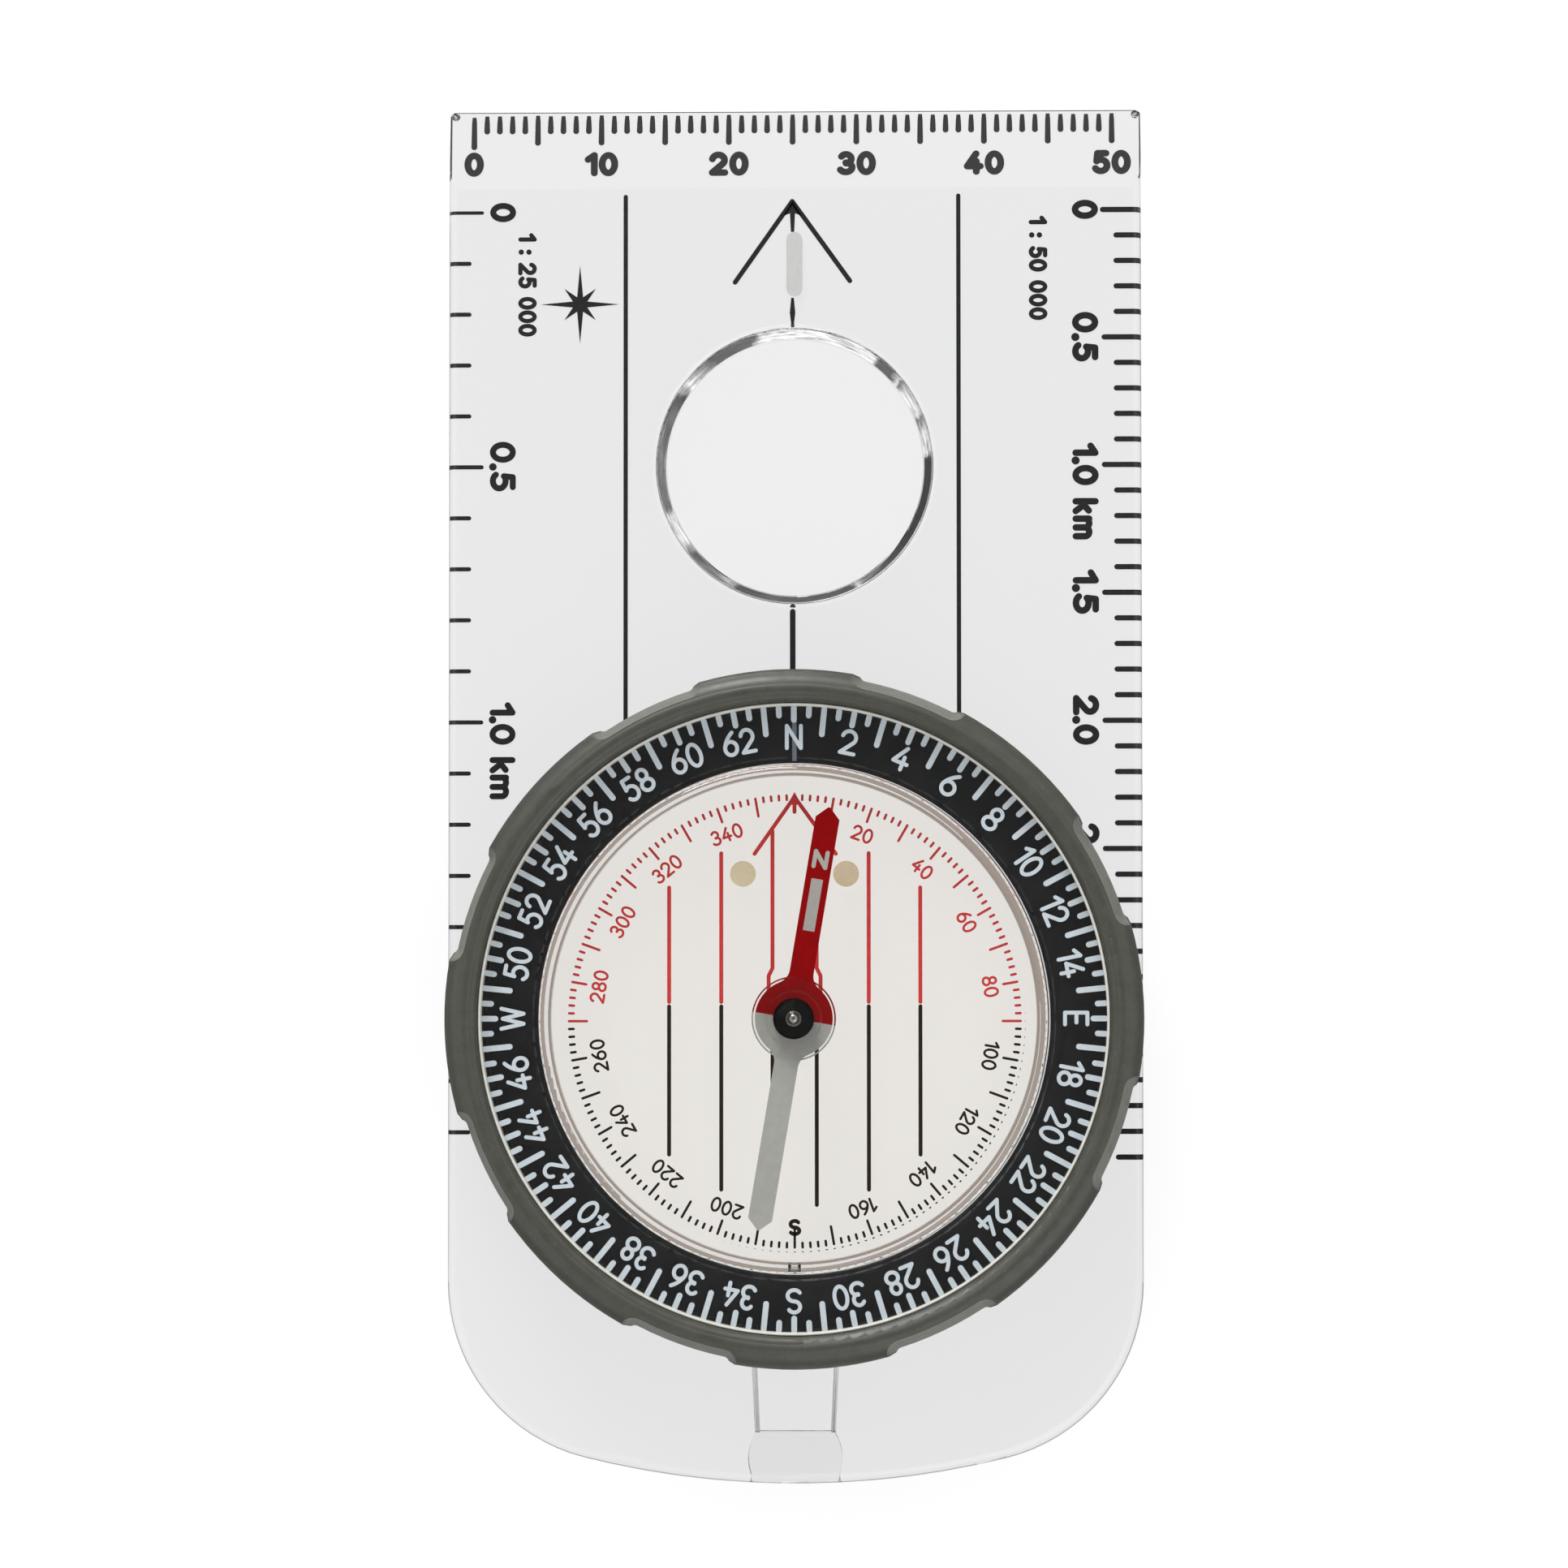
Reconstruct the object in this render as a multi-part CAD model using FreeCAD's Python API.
"""Baseplate compass: clear ruler plate, rotating liquid-filled dial, and a jewelled needle.

Millimetres. Origin at the centre of the plate's outline, on its underside. +Z is up,
+Y points along the direction of travel, and +X is to the right of it.
"""
import FreeCAD, Part
import math
import os

from FreeCAD import Vector as V

# ------------------------------------------------------------------ driving dimensions
# plate
PLATE_W = 54.0            # width, X
PLATE_L = 107.0           # length, Y
PLATE_T = 3.2             # thickness
FRONT_BEVEL_L = 6.3       # the ruler edge slopes down over this length
FRONT_EDGE_T = 1.2        # thickness left at the ruler edge
FRONT_CORNER_R = 0.35
REAR_CORNER_R = 14.0
REAR_ARC_R = 68.2         # shallow arc across the rear edge
TOP_EDGE_R = 0.8
LOW_EDGE_R = 0.2

# lanyard eye, moulded in the underside at the rear
EYE_CEIL = 2.4            # ceiling of the channel and of the tunnel
EYE_BAR_T = 0.8           # bar left under the tunnel
EYE_CH_W1 = 7.0           # channel width next to the dial
EYE_CH_W2 = 6.3           # channel width at the bar
EYE_BAR_Y = -49.55        # front face of the bar
EYE_MOUTH_W = 6.1         # tunnel width at its two ends
EYE_MID_W = 7.3           # tunnel width at its middle, where the walls bow out

# magnifier
LENS_Y = 25.5
LENS_TOP_R = 10.8
LENS_LOW_R = 9.96
LENS_SAG = 0.75           # how far the crown stands over the plate
LENS_RELIEF = 0.06        # air gap between lens and plate, apart from the bonded lands
LENS_LAND = 0.25          # height of the bonded land at the bottom and the top
LENS_CHAMFER = 0.1        # on the lens's lower edge
SEAT_CHAMFER_W, SEAT_CHAMFER_T = 0.28, 0.12   # round the mouth of its seat

# luminous bar in the direction-of-travel arrow
BAR_X, BAR_Y, BAR_W, BAR_L, BAR_T = -0.05, 41.5, 1.26, 5.05, 0.3

# dial position and the housing opening
DIAL_Y = -17.5
LIP_R = 19.65             # lip that holds the capsule
LIP_LOW_Z = 1.45
POCKET_R = 21.35          # counterbore in the underside, for the capsule's flange

# index ring, fixed on the plate
INDEX_R0, INDEX_R1, INDEX_TOP = 19.8, 24.9, 3.65
INDEX_LINE_W, INDEX_LINE_R0, INDEX_LINE_R1, INDEX_LINE_T = 0.34, 19.8, 23.6, 0.15

# capsule
CAP_R = 19.5              # outer radius of its wall
CAP_IN_R = 18.75          # inner radius of its wall
CAP_TOP = 10.0
CAP_TOP_T = 1.2
CAP_WINDOW_R = 17.75      # flat of the window
CAP_SHOULDER_R = 18.9
CAP_BASE_Z0 = 0.25
CAP_SEAT_Z = 1.35         # the wall stands here
GLUE_T = 0.02             # on a film of glue
CAP_FLOOR_Z = 1.6         # printed floor
CAP_FLANGE_R = 21.2
BOSS_R, BOSS_TOP = 1.3, 2.6
DOT_X, DOT_Y, DOT_R, DOT_T = 4.0, 11.2, 1.0, 0.2   # luminous dots, from the dial's centre
PLUG_R, PLUG_Z = 0.5, 2.6

# scale ring and grip
SCALE_R0, SCALE_R1 = 19.55, 24.3
SCALE_Z0, SCALE_Z1 = 4.1, 6.2
SCALE_RIM_TOP, SCALE_RIM_IN = 7.55, 24.1
GRIP_R = 26.95
GRIP_Z0, GRIP_TOP = 3.45, 8.2
NOTCH_COUNT, NOTCH_FIRST, NOTCH_HALF = 8, 19.5, 7.6   # degrees, clockwise from the front
NOTCH_TOP_R, NOTCH_LOW_R = 25.85, 26.72

# pivot and needle
PIN_R, PIN_Z0, PIN_SHOULDER, PIN_TIP = 0.3, 0.7, 5.05, 5.75
PIN_TIP_R = 0.04
NEEDLE_REST = -9.6        # degrees about +Z
BLADE_Z0, BLADE_T, BLADE_W, BLADE_HALF = 4.9, 0.3, 1.86, 16.5
BLADE_SHOULDER = 0.85
BLADE_DISC_R, BLADE_FILLET = 3.0, 1.25
HUB_R, HUB_T, HUB_BOSS_R, HUB_BOSS_T = 3.25, 0.7, 2.2, 0.6
CUP_R, CUP_Z0, CUP_Z1, CUP_BORE_R = 1.58, 4.5, 6.9, 0.55
JEWEL_R, JEWEL_Z0, JEWEL_Z1, JEWEL_CONE_R, JEWEL_APEX = 0.62, 5.5, 6.2, 0.42, 5.78
STUD_R, STUD_DOME = 0.68, 0.35
STRIP_Y, STRIP_L, STRIP_W, STRIP_T = 8.87, 4.05, 0.9, 0.1


# ------------------------------------------------------------------ helpers
def at_dial(shape):
    shape.translate(V(0, DIAL_Y, 0))
    return shape


def profile(points, plane="rz"):
    """Closed face from points. A 3-tuple of pairs, ('a', mid, end), is an arc."""
    def p3(p):
        return V(p[0], 0, p[1]) if plane == "rz" else V(p[0], p[1], 0)
    edges, start, last = [], points[0], points[0]
    for item in list(points[1:]) + [start]:
        if item[0] == "a":
            edges.append(Part.Arc(p3(last), p3(item[1]), p3(item[2])).toShape())
            last = item[2]
        else:
            if (item[0] - last[0]) ** 2 + (item[1] - last[1]) ** 2 > 1e-12:
                edges.append(Part.makeLine(p3(last), p3(item)))
            last = item
    return Part.Face(Part.Wire(edges))


def lathe(points):
    return profile(points).revolve(V(0, 0, 0), V(0, 0, 1), 360)


def cyl(r, z0, z1, x=0.0, y=0.0):
    return Part.makeCylinder(r, z1 - z0, V(x, y, z0))


def slab(face, z0, z1):
    face = face.copy()
    face.translate(V(0, 0, z0))
    return face.extrude(V(0, 0, z1 - z0))


def polar(r, clockwise_deg):
    a = math.radians(90.0 - clockwise_deg)
    return (r * math.cos(a), r * math.sin(a))


def stadium(x, y, w, l, z0, z1):
    """Bar along Y with round ends."""
    h, k = w / 2.0, (l - w) / 2.0
    f = profile([(x - h, y - k), ("a", (x, y - k - h), (x + h, y - k)),
                 (x + h, y + k), ("a", (x, y + k + h), (x - h, y + k))], "xy")
    return slab(f, z0, z1)


def as_solid(shape):
    shape = shape.removeSplitter()
    if shape.ShapeType == "Compound" and len(shape.Solids) == 1:
        shape = shape.Solids[0]
    return shape


# ------------------------------------------------------------------ plate
def plate_outline():
    hw, hl, rc = PLATE_W / 2.0, PLATE_L / 2.0, FRONT_CORNER_R
    cy = -hl + REAR_ARC_R
    cx = hw - REAR_CORNER_R
    yc = cy - math.sqrt((REAR_ARC_R - REAR_CORNER_R) ** 2 - cx ** 2)
    ux, uy = cx / (REAR_ARC_R - REAR_CORNER_R), (yc - cy) / (REAR_ARC_R - REAR_CORNER_R)
    tx, ty = ux * REAR_ARC_R, cy + uy * REAR_ARC_R
    a1 = math.atan2(uy, ux)
    am = a1 / 2.0
    mx, my = cx + REAR_CORNER_R * math.cos(am), yc + REAR_CORNER_R * math.sin(am)
    k = rc * (1 - math.sqrt(0.5))
    return profile([
        (-hw + rc, hl), (hw - rc, hl), ("a", (hw - k, hl - k), (hw, hl - rc)),
        (hw, yc), ("a", (mx, my), (tx, ty)), ("a", (0, -hl), (-tx, ty)),
        ("a", (-mx, my), (-hw, yc)), (-hw, hl - rc), ("a", (-hw + k, hl - k), (-hw + rc, hl)),
    ], "xy"), yc


def make_plate():
    outline, yc = plate_outline()
    body = slab(outline, 0, PLATE_T)
    hl, hw = PLATE_L / 2.0, PLATE_W / 2.0
    # ruler bevel: a wedge comes off the top
    tri = Part.Face(Part.makePolygon([
        V(-40, hl - FRONT_BEVEL_L, PLATE_T), V(-40, hl + 2, PLATE_T),
        V(-40, hl + 2, FRONT_EDGE_T - (PLATE_T - FRONT_EDGE_T) * 2 / FRONT_BEVEL_L),
        V(-40, hl - FRONT_BEVEL_L, PLATE_T)]))
    body = body.cut(tri.extrude(V(80, 0, 0)))
    # rounded long and rear edges
    top, low = [], []
    for e in body.Edges:
        zs = [v.Z for v in e.Vertexes]
        c = e.CenterOfMass
        side = abs(abs(c.x) - hw) < 1e-3
        rear = c.y < yc + 1e-3
        if all(abs(z - PLATE_T) < 1e-6 for z in zs) and (side or rear):
            top.append(e)
        if all(abs(z) < 1e-6 for z in zs):
            low.append(e)
    for r, edges in ((TOP_EDGE_R, top), (LOW_EDGE_R, low)):
        try:
            done = body.makeFillet(r, edges)
            if done.isValid() and len(done.Solids) == 1:
                body = done
            else:
                print("edge rounding", r, "left out")
        except Exception as err:
            print("edge rounding", r, "left out:", err)
        if r == TOP_EDGE_R:
            low = [e for e in body.Edges
                   if all(abs(v.Z) < 1e-6 for v in e.Vertexes)]
            edges = low
            try:
                done = body.makeFillet(LOW_EDGE_R, low)
                if done.isValid() and len(done.Solids) == 1:
                    body = done
            except Exception as err:
                print("lower rounding left out:", err)
            break

    # housing opening
    body = body.cut(at_dial(cyl(LIP_R, -1, PLATE_T + 1)))
    body = body.cut(at_dial(cyl(POCKET_R, -1, LIP_LOW_Z)))
    # conical seat of the magnifier
    seat = Part.makeCone(LENS_LOW_R, LENS_TOP_R, PLATE_T, V(0, LENS_Y, 0))
    body = body.cut(seat)
    wide = (SEAT_CHAMFER_W + (LENS_TOP_R - LENS_LOW_R) * SEAT_CHAMFER_T / PLATE_T) / SEAT_CHAMFER_T
    r_at = LENS_TOP_R - (LENS_TOP_R - LENS_LOW_R) * SEAT_CHAMFER_T / PLATE_T
    body = body.cut(Part.makeCone(r_at, r_at + wide * (SEAT_CHAMFER_T + 0.5), SEAT_CHAMFER_T + 0.5,
                                  V(0, LENS_Y, PLATE_T - SEAT_CHAMFER_T)))
    # pocket of the luminous bar
    body = body.cut(stadium(BAR_X, BAR_Y, BAR_W, BAR_L, -0.5, 0.05 + BAR_T))
    # lanyard channel and tunnel
    y0 = DIAL_Y - POCKET_R + 1.0
    w1, w2 = EYE_CH_W1 / 2.0, EYE_CH_W2 / 2.0
    channel = slab(profile([(-w1, y0), (-w1, DIAL_Y - POCKET_R - 3.0), (-w2, EYE_BAR_Y),
                            (w2, EYE_BAR_Y), (w1, DIAL_Y - POCKET_R - 3.0), (w1, y0)], "xy"),
                   -0.5, EYE_CEIL)
    ceil = [e for e in channel.Edges if all(abs(v.Z - EYE_CEIL) < 1e-6 for v in e.Vertexes)
            and abs(e.CenterOfMass.x) > 1.0]
    channel = channel.makeFillet(0.6, ceil)
    # keep the channel under the lip's ceiling clear of the housing opening's wall above
    m, q = EYE_MOUTH_W / 2.0, EYE_MID_W / 2.0
    ya, yb = EYE_BAR_Y + 0.02, -PLATE_L / 2.0 - 1.0
    ym = (EYE_BAR_Y - PLATE_L / 2.0) / 2.0
    tunnel = slab(profile([(-m, ya), ("a", (-q, ym), (-m, yb + 0.9)), (-m, yb),
                           (m, yb), (m, yb + 0.9), ("a", (q, ym), (m, ya))], "xy"),
                  EYE_BAR_T, EYE_CEIL)
    body = body.cut(channel)
    body = body.cut(tunnel)
    return as_solid(body)


def make_lens():
    z0, z1 = 0.0, PLATE_T
    def wall(z, off):
        return LENS_LOW_R + (LENS_TOP_R - LENS_LOW_R) * z / PLATE_T - off
    crown_r = wall(z1, 0) - 0.35
    c = LENS_CHAMFER
    pts = [(0, 0.12), ("a", (LENS_LOW_R * 0.5, 0.09), (wall(0, 0) - 0.3, 0.0)),
           (wall(0, 0) - c, 0.0), (wall(c, 0), c), (wall(LENS_LAND, 0), LENS_LAND),
           (wall(LENS_LAND + 0.05, LENS_RELIEF), LENS_LAND + 0.05),
           (wall(z1 - LENS_LAND - 0.05, LENS_RELIEF), z1 - LENS_LAND - 0.05),
           (wall(z1 - LENS_LAND, 0), z1 - LENS_LAND), (wall(z1, 0), z1),
           (crown_r, z1)]
    R = (crown_r ** 2 + LENS_SAG ** 2) / (2 * LENS_SAG)
    xm = crown_r / 2.0
    zm = z1 + LENS_SAG - R + math.sqrt(R * R - xm * xm)
    pts.append(("a", (xm, zm), (0, z1 + LENS_SAG)))
    lens = lathe(pts)
    lens.translate(V(0, LENS_Y, 0))
    return lens


# ------------------------------------------------------------------ fixed ring
def make_index_ring():
    ring = lathe([(INDEX_R0, PLATE_T), (INDEX_R1, PLATE_T), (INDEX_R1, INDEX_TOP - 0.1),
                  (INDEX_R1 - 0.1, INDEX_TOP), (INDEX_R0 + 0.1, INDEX_TOP),
                  (INDEX_R0, INDEX_TOP - 0.1)])
    groove = Part.makeBox(INDEX_LINE_W, INDEX_LINE_R1 - INDEX_LINE_R0 + 1, 1,
                          V(-INDEX_LINE_W / 2, INDEX_LINE_R0 - 1, INDEX_TOP - INDEX_LINE_T))
    return at_dial(as_solid(ring.cut(groove)))


def make_index_line():
    line = Part.makeBox(INDEX_LINE_W, INDEX_LINE_R1 - INDEX_LINE_R0 - 0.15, INDEX_LINE_T,
                        V(-INDEX_LINE_W / 2, INDEX_LINE_R0 + 0.15, INDEX_TOP - INDEX_LINE_T))
    return at_dial(line)


# ------------------------------------------------------------------ capsule
def make_capsule_base():
    base = lathe([(0, CAP_BASE_Z0), (CAP_FLANGE_R - 0.2, CAP_BASE_Z0),
                  (CAP_FLANGE_R, CAP_BASE_Z0 + 0.2), (CAP_FLANGE_R, CAP_SEAT_Z),
                  (CAP_IN_R - 0.05, CAP_SEAT_Z), (CAP_IN_R - 0.05, CAP_FLOOR_Z),
                  (BOSS_R, CAP_FLOOR_Z), (BOSS_R - 0.15, BOSS_TOP - 0.15),
                  (BOSS_R - 0.3, BOSS_TOP), (0, BOSS_TOP)])
    base = base.cut(cyl(PIN_R, PIN_Z0, BOSS_TOP + 1))
    for s in (-1, 1):
        base = base.cut(cyl(DOT_R, CAP_FLOOR_Z - DOT_T, CAP_FLOOR_Z + 1, s * DOT_X, DOT_Y))
    return at_dial(as_solid(base))


def make_capsule_top():
    zt, zi = CAP_TOP, CAP_TOP - CAP_TOP_T
    # outer wall, rounded shoulder, a narrow sloped band, then the flat window
    rs = CAP_R - CAP_SHOULDER_R
    z_sh = zt - 0.12
    k = math.sqrt(0.5)
    top = lathe([
        (CAP_IN_R, CAP_SEAT_Z + GLUE_T), (CAP_R, CAP_SEAT_Z + GLUE_T), (CAP_R, z_sh - rs),
        ("a", (CAP_SHOULDER_R + rs * k, z_sh - rs + rs * k), (CAP_SHOULDER_R, z_sh)),
        (CAP_WINDOW_R, zt), (0, zt), (0, zi), (CAP_IN_R - 0.7, zi),
        ("a", (CAP_IN_R - 0.7 + 0.7 * k, zi - 0.7 + 0.7 * k), (CAP_IN_R, zi - 0.7)),
    ])
    bore = Part.makeCylinder(PLUG_R, 4.0, V(0, -(CAP_R + 1), PLUG_Z), V(0, 1, 0))
    return at_dial(as_solid(top.cut(bore)))


def make_fill_plug():
    plug = Part.makeCylinder(PLUG_R, CAP_R - CAP_IN_R - 0.3, V(0, -(CAP_R - 0.15), PLUG_Z), V(0, 1, 0))
    end = [e for e in plug.Edges if abs(e.CenterOfMass.y + CAP_R - 0.15) < 1e-3]
    return at_dial(plug.makeChamfer(0.1, end))


def make_dots():
    return at_dial(Part.makeCompound([
        cyl(DOT_R, CAP_FLOOR_Z - DOT_T, CAP_FLOOR_Z, s * DOT_X, DOT_Y) for s in (-1, 1)]))


def make_scale_ring():
    return at_dial(lathe([
        (SCALE_R0, SCALE_Z0), (SCALE_R1, SCALE_Z0), (SCALE_R1, SCALE_RIM_TOP - 0.06),
        (SCALE_R1 - 0.06, SCALE_RIM_TOP), (SCALE_RIM_IN + 0.06, SCALE_RIM_TOP),
        (SCALE_RIM_IN, SCALE_RIM_TOP - 0.06), (SCALE_RIM_IN, SCALE_Z1), (20.2, SCALE_Z1),
        (20.05, SCALE_Z1 - 0.22), (SCALE_R0 + 0.1, SCALE_Z1 - 0.22), (SCALE_R0, SCALE_Z1 - 0.32)]))


def make_grip_ring():
    r1 = SCALE_R1 + 0.05
    ring = lathe([
        (SCALE_RIM_IN, 3.9), (25.3, 3.9), (25.3, GRIP_Z0), (GRIP_R - 0.35, GRIP_Z0),
        ("a", (GRIP_R - 0.1, GRIP_Z0 + 0.1), (GRIP_R, GRIP_Z0 + 0.35)),
        (GRIP_R, 6.6),
        ("a", (26.62, 7.55), (25.75, 8.1)),
        ("a", (25.35, GRIP_TOP), (24.95, 8.1)),
        ("a", (24.55, 7.93), (r1, 7.65)),
        (r1, SCALE_Z0), (SCALE_RIM_IN, SCALE_Z0)])
    # thumb notches: a sloped scoop with round ends
    cut_lo, cut_hi = GRIP_Z0 - 1.0, GRIP_TOP + 1.0
    slope = (NOTCH_TOP_R - NOTCH_LOW_R) / (GRIP_TOP - GRIP_Z0)
    r_lo = NOTCH_LOW_R + slope * (cut_lo - GRIP_Z0)
    r_hi = NOTCH_LOW_R + slope * (cut_hi - GRIP_Z0)
    sector = profile([(r_lo, cut_lo), (29, cut_lo), (29, cut_hi), (r_hi, cut_hi)])
    arc = sector.revolve(V(0, 0, 0), V(0, 0, 1), 2 * NOTCH_HALF)
    rc = GRIP_R + 0.25
    for i in range(NOTCH_COUNT):
        mid = NOTCH_FIRST + i * 360.0 / NOTCH_COUNT
        tool = arc.copy()
        # revolve starts on +X and runs anticlockwise
        tool.rotate(V(0, 0, 0), V(0, 0, 1), 90.0 - mid - NOTCH_HALF)
        ring = ring.cut(tool)
        for side in (-1, 1):
            x, y = polar(rc, mid + side * NOTCH_HALF)
            cone = Part.makeCone(rc - r_lo, rc - r_hi, cut_hi - cut_lo, V(x, y, cut_lo))
            ring = ring.cut(cone)
    return at_dial(as_solid(ring))


# ------------------------------------------------------------------ pivot and needle
def make_pin():
    return at_dial(lathe([(0, PIN_Z0), (PIN_R, PIN_Z0), (PIN_R, PIN_SHOULDER),
                          (PIN_TIP_R, PIN_TIP - 0.02), (0, PIN_TIP)]))


def turned(shape):
    shape.rotate(V(0, 0, 0), V(0, 0, 1), NEEDLE_REST)
    return at_dial(shape)


def make_blade():
    h, w, s = BLADE_HALF, BLADE_W / 2.0, BLADE_SHOULDER
    R, f = BLADE_DISC_R, BLADE_FILLET
    # concave fillet between the straight edge x = w and the disc
    fx = w + f
    fy = math.sqrt((R + f) ** 2 - fx ** 2)
    dx, dy = fx * R / (R + f), fy * R / (R + f)
    ux, uy = (w - fx), 0.0
    vx, vy = (dx - fx), (dy - fy)
    mx, my = ux + vx / 1.0, uy + vy / 1.0
    n = math.hypot(mx, my)
    ax, ay = fx + f * mx / n, fy + f * my / n
    tip = 0.12
    pts = [(-tip, h - 0.05), ("a", (0, h), (tip, h - 0.05)), (w, h - s), (w, fy), ("a", (ax, ay), (dx, dy)),
           ("a", (R, 0), (dx, -dy)), ("a", (ax, -ay), (w, -fy)), (w, -h + s),
           (tip, -h + 0.05), ("a", (0, -h), (-tip, -h + 0.05)), (-w, -h + s), (-w, -fy),
           ("a", (-ax, -ay), (-dx, -dy)), ("a", (-R, 0), (-dx, dy)), ("a", (-ax, ay), (-w, fy)),
           (-w, h - s)]
    blade = slab(profile(pts, "xy"), BLADE_Z0, BLADE_Z0 + BLADE_T)
    blade = blade.cut(cyl(CUP_R, BLADE_Z0 - 1, BLADE_Z0 + BLADE_T + 1))
    hw, hl = STRIP_W / 2.0, STRIP_L / 2.0
    blade = blade.cut(Part.makeBox(STRIP_W, STRIP_L, 1.0,
                                   V(-hw, STRIP_Y - hl, BLADE_Z0 + BLADE_T - STRIP_T)))
    return turned(as_solid(blade))


def make_strip():
    return turned(Part.makeBox(STRIP_W, STRIP_L, STRIP_T,
                               V(-STRIP_W / 2, STRIP_Y - STRIP_L / 2, BLADE_Z0 + BLADE_T - STRIP_T)))


def make_hub():
    z0 = BLADE_Z0 + BLADE_T
    z1, z2 = z0 + HUB_T, z0 + HUB_T + HUB_BOSS_T
    return turned(lathe([(CUP_R, z0), (HUB_R, z0), (HUB_R, z1 - 0.12), (HUB_R - 0.12, z1),
                         (HUB_BOSS_R, z1), (HUB_BOSS_R, z2 - 0.15), (HUB_BOSS_R - 0.15, z2),
                         (CUP_R, z2)]))


def make_cup():
    zl = BLADE_Z0
    return turned(lathe([
        (CUP_BORE_R, CUP_Z0), (CUP_R - 0.2, CUP_Z0), (CUP_R, CUP_Z0 + 0.2), (CUP_R, CUP_Z1 - 0.25),
        ("a", (CUP_R - 0.08, CUP_Z1 - 0.08), (CUP_R - 0.25, CUP_Z1)), (STUD_R, CUP_Z1 - 0.15),
        (STUD_R, JEWEL_Z1), (JEWEL_R, JEWEL_Z1), (JEWEL_R, JEWEL_Z0), (CUP_BORE_R, JEWEL_Z0)]))


def make_jewel():
    return turned(lathe([
        (JEWEL_CONE_R, JEWEL_Z0), (JEWEL_R, JEWEL_Z0), (JEWEL_R, JEWEL_Z1), (0, JEWEL_Z1),
        (0, JEWEL_APEX), (0.06, JEWEL_APEX - 0.01)]))


def make_stud():
    z1 = CUP_Z1 - 0.1
    R = (STUD_R ** 2 + STUD_DOME ** 2) / (2 * STUD_DOME)
    xm = STUD_R * 0.5
    zm = z1 + STUD_DOME - R + math.sqrt(R * R - xm * xm)
    return turned(lathe([(0, JEWEL_Z1), (STUD_R, JEWEL_Z1), (STUD_R, z1),
                         ("a", (xm, zm), (0, z1 + STUD_DOME))]))


PIECES = {
    "baseplate": make_plate,
    "magnifier_lens": make_lens,
    "travel_arrow_lume": lambda: stadium(BAR_X, BAR_Y, BAR_W, BAR_L, 0.05, 0.05 + BAR_T),
    "index_ring": make_index_ring,
    "index_line_lume": make_index_line,
    "capsule_base": make_capsule_base,
    "capsule_top": make_capsule_top,
    "fill_plug": make_fill_plug,
    "capsule_lume_dots": make_dots,
    "scale_ring": make_scale_ring,
    "grip_ring": make_grip_ring,
    "pivot_pin": make_pin,
    "needle_blade": make_blade,
    "needle_lume_strip": make_strip,
    "needle_hub": make_hub,
    "bearing_cup": make_cup,
    "jewel_bearing": make_jewel,
    "bearing_stud": make_stud,
}

os.makedirs("parts", exist_ok=True)
for name, make in PIECES.items():
    shape = make()
    box = shape.BoundBox
    print("%-18s solids %d valid %s vol %9.3f  x %.2f..%.2f y %.2f..%.2f z %.3f..%.3f" % (
        name, len(shape.Solids), shape.isValid(), shape.Volume,
        box.XMin, box.XMax, box.YMin, box.YMax, box.ZMin, box.ZMax))
    shape.exportStep("parts/%s.step" % name)
